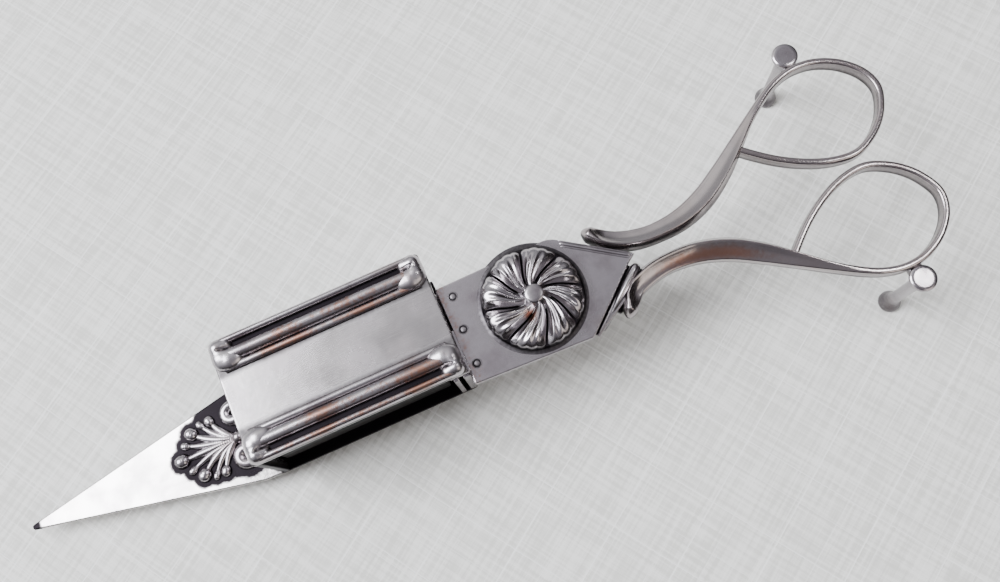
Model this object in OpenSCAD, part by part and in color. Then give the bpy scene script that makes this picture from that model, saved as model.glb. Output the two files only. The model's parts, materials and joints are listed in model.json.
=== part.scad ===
// Wick trimmer with three feet: a scissor-like pair of limbs that turn on one pin.
// The lower limb carries the snuff box and the pointed tip; the upper limb carries the presser.
// X runs from the tip (negative) to the finger bows (positive), Z is up, Y points to the rear handle.
// The feet stand on Z = 0 and the middle of the whole length is at X = 0.
// Shapes are drawn from a datum on the middle line beside the pin, and moved to their place by at_datum.

/* [Overall] */
// distance from the part's middle to the datum, along X
datum_x = 15; // [10:0.5:20]
// tip position along X, from the datum
tip_x = -105; // [-115:0.5:-95]
// height of the floor's underside above the table
floor_z = 3.2; // [2.5:0.1:4.5]
// thickness of the floor and tip plate
floor_t = 1.0; // [0.6:0.1:1.6]

/* [Pivot plates] */
// underside of the lower pivot plate
lower_z = 17.0; // [15:0.1:18]
// thickness of the lower pivot plate
lower_t = 1.3; // [1:0.1:2]
// underside of the upper pivot plate
upper_z = 18.6; // [18:0.1:20]
// thickness of the upper pivot plate
upper_t = 1.4; // [1:0.1:2]
// left edge of the upper plate, from the datum
plate_left = -16.0; // [-17:0.1:-14]
// rear edge of the plate at its left end
plate_rear = 9.6; // [8:0.1:11]
// front edge of the plate at its left end
plate_front = -9.1; // [-11:0.1:-8]
// how far the lower plate stays inside the upper one
plate_inset = 0.4; // [0.3:0.1:1]

/* [Pivot pin] */
// pin's middle along X, from the datum
pin_x = -0.3; // [-1:0.1:1]
// pin's middle along Y, from the datum
pin_y = 0.7; // [-1:0.1:1]
// radius of the pin's shank
pin_r = 2.0; // [1.5:0.05:3]
// radial running clearance in the upper plate
pin_fit = 0.05; // [0.02:0.01:0.1]
// radius of the pin's lower peened head
pin_head_r = 3.3; // [2.6:0.1:4.5]
// radius of the pin's upper peened head
pin_cap_r = 2.9; // [2.4:0.1:4]
// thickness of the pin's lower head
pin_head_t = 0.7; // [0.5:0.1:1]
// thickness of the pin's upper head
pin_cap_t = 0.6; // [0.4:0.1:0.8]
// end play between the upper plate and the pin's upper head
pin_play = 0.3; // [0.2:0.05:0.4]

/* [Boss and rosette] */
// radius of the boss rim where it meets the plate
rim_foot_r = 10.9; // [10:0.1:12]
// radius of the boss rim under the rosette
rim_r = 9.6; // [9:0.1:11]
// inner radius of the boss rim
rim_bore_r = 6.0; // [4:0.5:8]
// height of the rim above the upper plate
rim_h = 1.2; // [1:0.1:2.5]
// radius of the rosette
rosette_r = 9.3; // [8:0.1:11]
// thickness of the rosette's base
rosette_t = 0.6; // [0.5:0.1:1]
// number of petals
petals = 8; // [5:1:12]
// radius of the button in the rosette's middle
button_r = 1.3; // [1:0.1:2]

/* [Snuff box] */
// tip end of the cover, from the datum
box_x0 = -56.7; // [-60:0.1:-50]
// pivot end of the cover, from the datum
box_x1 = -16.2; // [-18:0.1:-15]
// front edge of the cover
box_y0 = -7.1; // [-9:0.1:-5]
// rear edge of the cover
box_y1 = 16.3; // [12:0.1:18]
// underside of the cover
cover_z = 22.4; // [20:0.1:24]
// thickness of the cover
cover_t = 1.1; // [0.8:0.1:1.6]
// thickness of the box walls
wall_t = 1.0; // [0.6:0.1:1.6]
// height of the reeded mouldings above the cover
reed_h = 1.8; // [1.2:0.1:2.4]

/* [Presser] */
// thickness of the presser plate
presser_t = 0.9; // [0.6:0.1:1.5]
// how far the presser sits behind the mouth
presser_in = 2.1; // [1.5:0.1:3]
// gap between the presser and the floor
presser_gap = 0.4; // [0.25:0.05:1]

/* [Handles] */
// underside of the shanks and bows
handle_z = 16.5; // [15:0.1:18]
// height of the shanks
shank_h = 3.5; // [2:0.1:4]
// height of the bow bands
bow_h = 3.1; // [2:0.1:4]
// in-plane thickness of the bow bands
bow_t = 1.4; // [1:0.1:2.5]
// radius of the disc on top of each bow foot
disc_r = 2.45; // [2:0.05:3.5]
// distance of the rear foot from the datum, along X
rear_foot_x = 61.7; // [60:0.1:64]
// distance of the front foot from the datum, along X
front_foot_x = 63.4; // [60:0.1:65]
// distance of the bow feet from the middle line
foot_y = 24.1; // [23.5:0.1:25]

/* [Hidden] */
silver = [0.78, 0.77, 0.74];
steel = [0.16, 0.16, 0.17];
upper_top = upper_z + upper_t;
lower_top = lower_z + lower_t;
rim_top = upper_top + rim_h;
cover_top = cover_z + cover_t;
floor_top = floor_z + floor_t;
// corner and apex of the plate's canted edges, and the distance and direction of each edge from the datum
rear_corner = [6.8, 9.9];
rear_apex = [19.8, 0.9];
front_corner = [6.7, -10.1];
front_apex = [18.3, -0.1];
rear_cant = atan2(rear_apex[0] - rear_corner[0], rear_corner[1] - rear_apex[1]);
rear_d = rear_corner[0] * cos(rear_cant) + rear_corner[1] * sin(rear_cant);
front_cant = -atan2(front_apex[0] - front_corner[0], front_apex[1] - front_corner[1]);
front_d = front_corner[0] * cos(front_cant) + front_corner[1] * sin(front_cant);
// how far the floor and the walls stay inside the cover
floor_in = 0.1;
collar_w = 2.8;
collar_h = 2.3;
edge_w = 1.2;
edge_h = 0.3;
wall_top = cover_z;
low_wall_top = lower_top - 0.1;
reed_w = 6.4;
clasp_l = 4.2;
shell_x = -62.6;
shell_y = 2.9;
foot_neck_r = 1.2;
foot_base_r = 2.1;
foot_base_h = 0.8;
foot_flare_h = 1.2;
foot_cap_h = 1.6;
foot_cap_r = 2.2;
disc_h = 1.0;
disc_top = 19.1;
tip_foot_x = -60;
tip_foot_y = 2.8;
shell_t = 1.3;
presser_x0 = -54.7;
presser_x1 = -20.7;
presser_y0 = box_y0 + floor_in + presser_in;
step = 4;

function crom(a, b, c, d, t) =
    0.5 * (2 * b + (c - a) * t
        + (2 * a - 5 * b + 4 * c - d) * t * t
        + (3 * b - a - 3 * c + d) * t * t * t);

function smooth_loop(p, n) =
    let (m = len(p))
    [for (i = [0:m - 1]) for (k = [0:n - 1])
        crom(p[(i + m - 1) % m], p[i], p[(i + 1) % m], p[(i + 2) % m], k / n)];

function unit(v) = v / norm(v);

// each point of a closed counter-clockwise loop is moved inward by d
function inset_loop(p, d) =
    let (m = len(p))
    [for (i = [0:m - 1])
        let (t = unit(p[(i + 1) % m] - p[(i + m - 1) % m]))
        p[i] + d * [-t[1], t[0]]];

// outline of the rear bow, counter-clockwise, from the datum
bow_pts = [
    [45.4, 10.0], [47.6, 7.9], [50.5, 5.7], [54, 3.5], [58, 1.7], [62, 0.75], [65, 0.8], [68, 2.0],
    [71, 4.1], [73.4, 7.2], [74.9, 11.3], [73.9, 15.6], [70.6, 19.2], [66.4, 21.3], [62, 21.8],
    [58, 21.0], [54.6, 19.4], [50, 16.5], [46.6, 13.9]
];
bow_outer = smooth_loop(bow_pts, step);
bow_inner = inset_loop(bow_outer, bow_t);

// outline of the rear shank, counter-clockwise, from the datum
shank_pts = [
    [12.4, 7.4], [15, 5.2], [18, 2.8], [20.3, 1.6], [25, 1.2], [30, 1.25], [35, 2.6], [40, 5.4], [44.2, 8.9],
    [46.9, 10.6], [48.2, 15.3], [45, 13.4], [40, 10.1], [35, 7.3], [30, 5.4], [24.6, 4.6], [20.6, 5.4],
    [17.2, 6.7], [15.2, 8.3], [13.6, 9.9]
];

module at_datum() { translate([datum_x, 0, 0]) children(); }

module at_pin() { translate([datum_x + pin_x, pin_y, 0]) children(); }

// the upper plate seen from above
module plate_outline() {
    polygon([
        [plate_left, plate_front], front_corner, front_apex,
        rear_apex, rear_corner, [plate_left, plate_rear],
    ]);
}

// the half plane beyond a distance from the datum, in a direction given by its angle
module beyond(angle, d) {
    rotate(angle) translate([d, -40]) square([80, 80]);
}

// the shank of a handle, cut off square to the canted edge it springs from
module shank(angle, start) {
    translate([0, 0, handle_z])
    linear_extrude(shank_h)
    difference() {
        intersection() {
            polygon(shank_pts);
            beyond(angle, start);
        }
        polygon(bow_outer);
    }
}

module bow_band() {
    translate([0, 0, handle_z])
    linear_extrude(bow_h)
    difference() {
        polygon(bow_outer);
        polygon(bow_inner);
    }
}

// a turned foot with a lug that joins it to the outside of its bow
module foot(foot_x) {
    neck_z = foot_base_h + foot_flare_h;
    disc_z = disc_top - disc_h;
    cap_z = disc_z - foot_cap_h;
    difference() {
        union() {
            translate([foot_x, foot_y, 0]) {
                cylinder(h = foot_base_h, r = foot_base_r, $fn = 48);
                translate([0, 0, foot_base_h])
                cylinder(h = foot_flare_h, r1 = foot_base_r, r2 = foot_neck_r, $fn = 48);
                translate([0, 0, neck_z])
                    cylinder(h = cap_z - foot_cap_h - neck_z, r = foot_neck_r, $fn = 48);
                translate([0, 0, cap_z - foot_cap_h])
                cylinder(h = foot_cap_h, r1 = foot_neck_r, r2 = foot_cap_r, $fn = 48);
                translate([0, 0, cap_z]) cylinder(h = foot_cap_h, r = foot_cap_r, $fn = 48);
                translate([0, 0, disc_z]) cylinder(h = disc_h, r = disc_r, $fn = 48);
            }
            translate([foot_x - 1.6, foot_y - 3, handle_z + 0.3]) cube([3.2, 3, 1.4]);
        }
        translate([0, 0, 10]) linear_extrude(15) polygon(bow_outer);
    }
}

module floor_blade() {
    color(silver) at_datum()
    translate([0, 0, floor_z])
    linear_extrude(floor_t)
    polygon([
        [tip_x, 2.9], [tip_x + 0.4, 2.1], [-92, -0.6], [-76, -3.9], [-60, -6.9], [box_x0, box_y0 + floor_in],
        [box_x1, box_y0 + floor_in], [box_x1, box_y1 - 0.3], [box_x0, box_y1 - 0.3], [-60, 12.4],
        [-76, 8.9], [-92, 5.6], [tip_x + 0.4, 3.5]
    ]);
}

// beads at the ends of the shell's ribs: along from the hub, off the middle line, radius
beads = [[-11.2, 0, 1.5], [-7.8, 4.3, 1.2], [-7.8, -4.3, 1.2], [-4.0, 5.1, 0.9], [-4.0, -5.1, 0.9]];

module shell_ornament() {
    color(silver) at_datum()
    translate([shell_x, shell_y, floor_top])
    intersection() {
        union() {
            translate([-1.5, 0, 0]) cylinder(h = shell_t - 0.2, r = 4.4, $fn = 64);
            for (bead = beads) {
                translate([bead[0], bead[1], 0]) cylinder(h = shell_t, r = bead[2], $fn = 48);
                rotate([0, 0, atan2(bead[1], bead[0])])
                translate([0, -0.6, 0]) cube([norm([bead[0], bead[1]]), 1.2, 1.0]);
            }
            for (side = [-1, 1]) translate([0, 3.9 * side, 0]) cylinder(h = shell_t, r = 2.2, $fn = 48);
        }
        translate([-30, -20, 0]) cube([30 + box_x0 - shell_x, 40, 5]);
    }
}

module box_rear_wall() {
    color(silver) at_datum()
    translate([box_x0 + 0.4, box_y1 - 0.4 - wall_t, floor_top])
    cube([box_x1 - 1.2 - box_x0, wall_t, wall_top - floor_top]);
}

module box_tip_wall() {
    color(silver) at_datum()
    translate([box_x0 + 0.4, box_y0 + floor_in, floor_top])
    cube([wall_t, box_y1 - 0.4 - wall_t - box_y0 - 0.1, wall_top - floor_top]);
}

module box_pivot_wall() {
    color(silver) at_datum()
    difference() {
        translate([-19.4, box_y0 + floor_in, floor_top])
        cube([wall_t, box_y1 - 0.4 - wall_t - box_y0 - 0.1, wall_top - floor_top]);
        translate([-30, box_y0 - 1, low_wall_top]) cube([20, 15.3, 20]);
    }
}

module box_cover() {
    color(silver) at_datum()
    translate([box_x0, box_y0, cover_z])
    cube([box_x1 - box_x0, box_y1 - box_y0, cover_t]);
}

// a reeded side moulding lying on the cover, from y = 0 (outer edge) to y = reed_w
module reeds(x0, x1) {
    translate([x0, 0, 0]) rotate([90, 0, 90]) linear_extrude(x1 - x0)
    intersection() {
        union() {
            translate([0, 0]) square([reed_w, 0.25]);
            translate([0, 0]) square([0.9, 1.0]);
            translate([3.6, 0.1]) circle(r = 1.25, $fn = 48);
            translate([5.6, 0.1]) circle(r = 0.75, $fn = 48);
        }
        square([reed_w, reed_h]);
    }
}

module front_reeded_moulding() {
    color(silver) at_datum()
    translate([0, box_y0, cover_top]) reeds(box_x0 + clasp_l, box_x1 - clasp_l);
}

module rear_reeded_moulding() {
    color(silver) at_datum()
    translate([0, box_y1, cover_top]) mirror([0, 1, 0]) reeds(box_x0 + clasp_l, box_x1 - clasp_l);
}

// a leaf clasp covering a corner of the cover; x and y grow inward from the corner
module clasp() {
    intersection() {
        union() {
            translate([2.1, 3.2, 0]) scale([1, 1.42, 0.66]) sphere(r = 2.2, $fn = 40);
            translate([0.2, 0.3, 0]) cube([clasp_l - 0.2, reed_w - 0.8, 0.7]);
        }
        translate([0, 0, 0]) cube([clasp_l, reed_w, reed_h]);
    }
}

module clasp_at(x, y, sx, sy) {
    color(silver) at_datum()
    translate([x, y, cover_top]) scale([sx, sy, 1]) clasp();
}

module leaf_clasp_front_tip() { clasp_at(box_x0, box_y0, 1, 1); }
module leaf_clasp_front_pivot() { clasp_at(box_x1, box_y0, -1, 1); }
module leaf_clasp_rear_tip() { clasp_at(box_x0, box_y1, 1, -1); }
module leaf_clasp_rear_pivot() { clasp_at(box_x1, box_y1, -1, -1); }

module limb_riser() {
    color(silver) at_datum()
    translate([-17.6, box_y0 + floor_in, floor_top])
    cube([box_x1 + 17.6, 16.4, lower_top - floor_top]);
}

module lower_pivot_plate() {
    color(silver)
    difference() {
        at_datum() translate([0, 0, lower_z]) linear_extrude(lower_t)
        union() {
            intersection() {
                polygon([[box_x1, plate_front + 0.3], front_corner + [-0.1, 0.3], front_apex + [-0.3, 0.1],
                    rear_apex, rear_corner, [box_x1, plate_rear - plate_inset]]);
                translate([box_x1, -20]) square([40, 20 + plate_rear - plate_inset]);
                difference() {
                    translate([-40, -40]) square([80, 80]);
                    beyond(rear_cant, rear_d - plate_inset);
                }
            }
            polygon([[6.5, -9.0], [7.9, -9.6], [11.6, -7.2], [13.05, -8.28], [19.87, -2.41], [17.4, 0.5]]);
        }
        at_pin() translate([0, 0, lower_z - 1]) cylinder(h = lower_t + 2, r = pin_r, $fn = 64);
    }
}

// the bar and its flange beside the plate's front canted edge
module front_collar_bar() {
    color(silver) at_datum()
    translate([0, 0, lower_top])
    linear_extrude(collar_h)
    polygon([[7.6, -9.9], [9.4, -8.7], [12.3, -7.0], [15.6, -4.9], [19.9, -1.2], [18.9, -0.1]]);
}

module front_handle() {
    color(silver) at_datum() mirror([0, 1, 0]) shank(-front_cant, front_d + collar_w);
}

module front_bow() {
    color(silver) at_datum() mirror([0, 1, 0]) bow_band();
}

module front_foot() {
    color(silver) at_datum() mirror([0, 1, 0]) foot(front_foot_x);
}

module tip_foot() {
    color(silver) at_datum()
    translate([tip_foot_x, tip_foot_y, 0]) {
        cylinder(h = foot_base_h, r = foot_base_r, $fn = 48);
        translate([0, 0, foot_base_h])
        cylinder(h = floor_z - foot_base_h, r1 = foot_base_r, r2 = foot_neck_r + 0.2, $fn = 48);
    }
}

module pivot_pin() {
    color(silver) at_pin() {
        translate([0, 0, lower_z - pin_head_t]) cylinder(h = pin_head_t, r = pin_head_r, $fn = 64);
        translate([0, 0, lower_z]) cylinder(h = upper_top + pin_play - lower_z, r = pin_r, $fn = 64);
        translate([0, 0, upper_top + pin_play]) cylinder(h = pin_cap_t, r = pin_cap_r, $fn = 64);
    }
}

module upper_pivot_plate() {
    color(silver)
    difference() {
        at_datum() translate([0, 0, upper_z]) linear_extrude(upper_t) plate_outline();
        at_pin() translate([0, 0, upper_z - 1]) cylinder(h = upper_t + 2, r = pin_r + pin_fit, $fn = 64);
    }
}

module boss_rim() {
    color(silver) at_pin()
    translate([0, 0, upper_top])
    rotate_extrude($fn = 96)
    polygon([
        [rim_bore_r, 0], [rim_foot_r, 0], [rim_r + 0.4, 0.35 * rim_h],
        [rim_r, rim_h], [rim_bore_r, rim_h],
    ]);
}

module rosette() {
    color(silver) at_pin()
    translate([0, 0, rim_top])
    difference() {
        union() {
            cylinder(h = rosette_t, r = rosette_r, $fn = 96);
            for (i = [0:petals - 1])
                rotate([0, 0, i * 360 / petals])
                translate([rosette_r - 3.6, 0, rosette_t]) intersection() {
                    scale([1.3, 0.8, 0.28]) sphere(r = 2.5, $fn = 32);
                    translate([-5, -5, 0]) cube([10, 10, 5]);
                }
            translate([0, 0, rosette_t]) cylinder(h = 0.5, r = button_r + 1.7, $fn = 64);
        }
        translate([0, 0, rosette_t + 0.5]) cylinder(h = 5, r = button_r + 0.01, $fn = 48);
    }
}

module rosette_button() {
    color(silver) at_pin()
    translate([0, 0, rim_top + rosette_t + 0.5])
    cylinder(h = 0.8, r1 = button_r, r2 = button_r - 0.4, $fn = 48);
}

// the low strip that lies on the plate along its rear canted edge
module rear_edge_moulding() {
    color(silver) at_datum()
    translate([0, 0, upper_top])
    linear_extrude(edge_h)
    difference() {
        intersection() {
            plate_outline();
            beyond(rear_cant, rear_d - edge_w);
            translate([rear_corner[0], 0.2]) square([20, 20]);
        }
        translate([pin_x, pin_y]) circle(r = rim_foot_r + 0.05, $fn = 96);
    }
}

module presser_tongue() {
    color(silver) at_datum()
    translate([0, 0, upper_z])
    linear_extrude(upper_t)
    polygon([[plate_left, -6.6], [plate_left, 1.5], [-21, 0.4], [-50, presser_y0 + presser_t + 1.4],
        [-50, presser_y0 + presser_t], [presser_x1, presser_y0 + presser_t], [presser_x1 + 0.2, presser_y0],
        [-19.6, -6.6]]);
}

module presser_plate() {
    color(steel) at_datum()
    translate([presser_x0, presser_y0, floor_top + presser_gap])
    cube([presser_x1 - presser_x0, presser_t, cover_z - 0.5 - floor_top - presser_gap]);
}

// the rear shank and the web that joins it to the upper plate's edge
module rear_handle() {
    color(silver) at_datum() {
        shank(rear_cant, rear_d);
        translate([0, 0, upper_z])
        linear_extrude(upper_t - 0.3)
        intersection() {
            polygon([[12.0, 6.0], [19.5, 0.9], [20.8, 2.2], [18.3, 3.6], [15.5, 5.7], [13.2, 7.8]]);
            beyond(rear_cant, rear_d);
        }
    }
}
module rear_bow() { color(silver) at_datum() bow_band(); }
module rear_foot() { color(silver) at_datum() foot(rear_foot_x); }

floor_blade();
shell_ornament();
box_rear_wall();
box_tip_wall();
box_pivot_wall();
box_cover();
front_reeded_moulding();
rear_reeded_moulding();
leaf_clasp_front_tip();
leaf_clasp_front_pivot();
leaf_clasp_rear_tip();
leaf_clasp_rear_pivot();
limb_riser();
lower_pivot_plate();
front_collar_bar();
front_handle();
front_bow();
front_foot();
tip_foot();
pivot_pin();
upper_pivot_plate();
boss_rim();
rosette();
rosette_button();
rear_edge_moulding();
presser_tongue();
presser_plate();
rear_handle();
rear_bow();
rear_foot();
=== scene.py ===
import json

import bmesh
import bpy
import numpy as np
from mathutils import Matrix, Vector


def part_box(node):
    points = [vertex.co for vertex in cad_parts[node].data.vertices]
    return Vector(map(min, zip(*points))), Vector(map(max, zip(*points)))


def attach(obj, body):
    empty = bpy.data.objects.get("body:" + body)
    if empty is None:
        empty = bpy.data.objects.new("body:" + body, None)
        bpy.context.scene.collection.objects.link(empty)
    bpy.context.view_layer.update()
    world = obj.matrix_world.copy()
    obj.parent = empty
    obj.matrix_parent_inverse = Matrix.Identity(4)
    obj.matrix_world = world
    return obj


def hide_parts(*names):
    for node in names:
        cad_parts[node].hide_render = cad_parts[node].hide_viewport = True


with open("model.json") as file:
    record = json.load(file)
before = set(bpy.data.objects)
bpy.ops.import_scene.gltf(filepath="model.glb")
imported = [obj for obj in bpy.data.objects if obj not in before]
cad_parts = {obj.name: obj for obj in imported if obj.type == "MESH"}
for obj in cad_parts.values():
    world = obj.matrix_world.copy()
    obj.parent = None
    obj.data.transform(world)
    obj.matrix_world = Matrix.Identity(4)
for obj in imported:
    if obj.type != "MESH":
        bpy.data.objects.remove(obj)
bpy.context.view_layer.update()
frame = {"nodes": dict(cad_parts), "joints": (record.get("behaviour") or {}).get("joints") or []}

# Shapes are worked out in millimetres from a datum at the hinge's place along x, on the part's middle line:
# x towards the bows, y to the rear, z up. A shape is a closed grid, an array of rings by points by 3, and
# add_piece puts it into a mesh in metres.

MM = 0.001
PIVOT_X = frame["joints"][0]["pos_m"][0] / MM
BOX_LIMB = "box_limb"
PRESSER_LIMB = "presser_limb"


def span(node):
    """Lowest and highest corner of a CAD node in millimetres from the datum."""
    low, high = (np.array(corner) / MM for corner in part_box(node))
    return low - (PIVOT_X, 0, 0), high - (PIVOT_X, 0, 0)


FLOOR_TOP = span("floor_blade")[1][2]
LOWER_TOP = span("lower_pivot_plate")[1][2]
UPPER_TOP = span("upper_pivot_plate")[1][2]
COVER_LOW, COVER_HIGH = span("box_cover")
COVER_TOP = COVER_HIGH[2]
HANDLE_LOW = span("rear_handle")[0][2]


# ---------------------------------------------------------------- numbers

def smoothstep(low, high, value):
    """0 below low, 1 above high, and between them the cubic 3 t squared less 2 t cubed."""
    t = np.clip((value - low) / (high - low), 0, 1)
    return t * t * (3 - 2 * t)


def spline(rows, count, closed=False):
    """Catmull-Rom curve through the rows, sampled at count even steps of its parameter."""
    rows = np.asarray(rows, float)
    n = len(rows)
    end = n if closed else n - 1
    t = np.linspace(0, end, count, endpoint=not closed)
    i = np.minimum(t.astype(int), end - 1)
    t = (t - i)[:, None]

    def row(k):
        return rows[k % n] if closed else rows[np.clip(k, 0, n - 1)]

    a, b, c, d = row(i - 1), row(i), row(i + 1), row(i + 2)
    square = 2 * a - 5 * b + 4 * c - d
    cube = 3 * b - a - 3 * c + d
    return 0.5 * (2 * b + (c - a) * t + square * t ** 2 + cube * t ** 3)


def travelled(path):
    """Distance from the start of a path to each of its points, along the path."""
    return np.concatenate([[0], np.cumsum(np.linalg.norm(np.diff(path, axis=0), axis=1))])


def evenly(loop, count):
    """A closed loop resampled at equal distances along it."""
    path = np.vstack([loop, loop[:1]])
    length = travelled(path)
    at = np.linspace(0, length[-1], count, endpoint=False)
    return np.stack([np.interp(at, length, path[:, k]) for k in range(path.shape[1])], 1)


def rounded_outline(corners, radii, count):
    """A counter-clockwise polygon as count points at equal distances. Each corner is a quadratic curve that
    reaches along its sides by the radius over the tangent of half its angle, at most 0.45 of a side."""
    corners = np.asarray(corners, float)
    path = []
    for k, radius in enumerate(radii):
        here = corners[k]
        back = corners[k - 1] - here
        ahead = corners[(k + 1) % len(corners)] - here
        back_len, ahead_len = np.linalg.norm(back), np.linalg.norm(ahead)
        back, ahead = back / back_len, ahead / ahead_len
        half = np.arccos(np.clip(back @ ahead, -1, 1)) / 2
        reach = min(radius / np.tan(half), 0.45 * back_len, 0.45 * ahead_len)
        t = np.linspace(0, 1, 12)[:, None]
        start, stop = here + back * reach, here + ahead * reach
        path.append((1 - t) ** 2 * start + 2 * t * (1 - t) * here + t ** 2 * stop)
    return evenly(np.vstack(path), count)


def inward(outline):
    """Unit normals that point into a counter-clockwise outline."""
    along = np.roll(outline, -1, 0) - np.roll(outline, 1, 0)
    along /= np.linalg.norm(along, axis=1, keepdims=True)
    return np.stack([-along[:, 1], along[:, 0]], 1)


# ---------------------------------------------------------------- meshes

def quads(n_u, n_v):
    """The faces of an n_u by n_v grid whose second direction is closed."""
    u = np.arange(n_u - 1)[:, None]
    v = np.arange(n_v)[None, :]
    w = (v + 1) % n_v
    return np.stack([u * n_v + v, u * n_v + w, (u + 1) * n_v + w, (u + 1) * n_v + v], -1).reshape(-1, 4)


def add_piece(name, body, nodes, material, grids, patina_and_shade=None, copper=None, mirror=False, sharp=40):
    """One object made of grids of rings.

    The first and last ring of a grid are each a single point, so the surface is closed. The dark weights
    and the copper weights are lists with one array for each grid; the dark weights are tarnish and painted
    shade.
    """
    points, faces, start = [], [], 0
    for rings in grids:
        points.append(rings.reshape(-1, 3))
        faces.append(quads(*rings.shape[:2]) + start)
        start += rings.shape[0] * rings.shape[1]
    points = np.vstack(points)
    if mirror:
        points = points * (1, -1, 1)
    mesh = bpy.data.meshes.new(name)
    mesh.from_pydata(((points + (PIVOT_X, 0, 0)) * MM).tolist(), [], np.vstack(faces).tolist())
    # the dark weights carry real tarnish and painted shade
    for label, values in (("patina_and_shade", patina_and_shade), ("copper", copper)):
        layer = mesh.attributes.new(label, "FLOAT", "POINT")
        values = np.zeros(len(points)) if values is None else np.concatenate([np.ravel(v) for v in values])
        layer.data.foreach_set("value", np.clip(values, 0, 1).astype(np.float32))
    work = bmesh.new()
    work.from_mesh(mesh)
    bmesh.ops.remove_doubles(work, verts=work.verts, dist=1e-7)
    bmesh.ops.recalc_face_normals(work, faces=work.faces)
    work.to_mesh(mesh)
    work.free()
    mesh.polygons.foreach_set("use_smooth", np.ones(len(mesh.polygons), bool))
    mesh.set_sharp_from_angle(angle=np.radians(sharp))
    mesh.materials.append(material)
    piece = bpy.data.objects.new(name, mesh)
    bpy.context.scene.collection.objects.link(piece)
    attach(piece, body)
    if nodes:
        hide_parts(*nodes)
    return piece


def slab(outline, low, top, bevel, rings, centre=None):
    """A flat piece: rings that grow from the centre to the outline over the top face, a round edge, the side,
    a round edge, and rings back to the centre underneath. The edges are quarter circles of radius bevel."""
    outline = np.asarray(outline, float)
    centre = outline.mean(0) if centre is None else np.asarray(centre, float)
    normal = inward(outline)
    inner = outline + normal * bevel

    def edge_ring(inset, z):
        """The outline drawn in by a share of the bevel, at one height."""
        return np.column_stack([outline + normal * bevel * inset, np.full(len(outline), z)])

    grow = np.linspace(0, 1, rings) ** 0.7
    face = centre + grow[:, None, None] * (inner - centre)
    face = np.dstack([face, np.full(face.shape[:2], float(top))])
    turn = np.linspace(0, np.pi / 2, 6)
    over = [edge_ring(1 - np.sin(a), top - bevel * (1 - np.cos(a))) for a in turn[1:]]
    under = [edge_ring(1 - np.cos(a), low + bevel * (1 - np.sin(a))) for a in turn]
    below = centre + np.linspace(1, 0, 6)[1:, None, None] * (inner - centre)
    below = np.dstack([below, np.full(below.shape[:2], float(low))])
    return np.concatenate([face, over, under, below])


def turned(rings, order):
    """The rings with their axes put in another order, for a piece that stands on edge."""
    return rings[..., list(order)]


def block(low, high, radius, bevel=0.2, axis=2, count=120):
    """A bar with rounded corners, flat across the given axis."""
    low, high = np.asarray(low, float), np.asarray(high, float)
    a, b = [k for k in range(3) if k != axis]
    corners = [(low[a], low[b]), (high[a], low[b]), (high[a], high[b]), (low[a], high[b])]
    rings = slab(rounded_outline(corners, [radius] * 4, count), low[axis], high[axis], bevel, rings=8)
    order = [0, 0, 0]
    order[a], order[b], order[axis] = 0, 1, 2
    return turned(rings, order)


def spun(profile, centre, count):
    """A profile of (radius, height) rows turned round a vertical axis; it starts and ends on the axis."""
    profile = np.asarray(profile, float)
    angle = np.linspace(0, 2 * np.pi, count, endpoint=False)
    r, z = profile[:, :1], profile[:, 1:]
    return np.dstack([centre[0] + r * np.cos(angle), centre[1] + r * np.sin(angle), z + 0 * angle])


def capped(rings):
    """The rings with a point added at each end, in the middle of the end ring, to close the surface."""
    middle = rings.mean(1, keepdims=True) + 0 * rings
    return np.concatenate([middle[:1], rings, middle[-1:]])


def relief(centre, field, reach, low, n_angle, n_ring):
    """A cast relief: along each ray from the centre the surface follows the field up to where it falls to
    nothing, then drops to low and closes underneath. The last tenth of the rings crowd towards that edge."""
    angle = np.linspace(0, 2 * np.pi, n_angle, endpoint=False)
    ray = np.stack([np.cos(angle), np.sin(angle)], 1)
    steps = np.linspace(0.02, 1, 400)
    scan = steps[:, None, None] * reach * ray + centre
    solid = field(scan[..., 0], scan[..., 1]) > 0
    last = len(steps) - 1 - np.argmax(solid[::-1], axis=0)
    edge = steps[last] * reach
    grow = np.linspace(0, 1, n_ring)
    grow = np.where(grow < 0.9, grow, 1 - (1 - grow) ** 1.6 * 10 ** 0.6)
    face = centre + (grow[:, None] * edge)[..., None] * ray
    z = np.maximum(field(face[..., 0], face[..., 1]), 0)
    top = np.dstack([face, low + z])
    ground = np.full((1, n_angle), float(low))
    skirt = np.dstack([face[-1:], ground])
    shut = np.dstack([np.broadcast_to(np.asarray(centre, float), (1, n_angle, 2)), ground])
    return np.concatenate([top, skirt, shut])


# ---------------------------------------------------------------- materials

def linear(hex_colour):
    """An sRGB hex colour as linear RGBA."""
    parts = [int(hex_colour[k:k + 2], 16) / 255 for k in (1, 3, 5)]
    return tuple(p / 12.92 if p <= 0.04045 else ((p + 0.055) / 1.055) ** 2.4 for p in parts) + (1.0,)


def add_node(tree, kind, inputs=None, **settings):
    """Adds a node, sets its properties, and fills each named or numbered input with a value or a link."""
    node = tree.nodes.new(kind)
    for label, value in settings.items():
        setattr(node, label, value)
    for label, value in (inputs or {}).items():
        socket = node.inputs[label]
        if isinstance(value, bpy.types.NodeSocket):
            tree.links.new(value, socket)
        else:
            socket.default_value = value
    return node


def new_material(name):
    """An empty node material."""
    material = bpy.data.materials.new(name)
    material.use_nodes = True
    material.node_tree.nodes.clear()
    return material, material.node_tree


def ramp(tree, value, low, high, start=0.0, stop=1.0):
    """The value mapped from low..high to start..stop, held at both ends."""
    return add_node(tree, "ShaderNodeMapRange", {"Value": value, "From Min": low, "From Max": high,
                                                 "To Min": start, "To Max": stop},
                    interpolation_type="SMOOTHSTEP").outputs[0]


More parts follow.
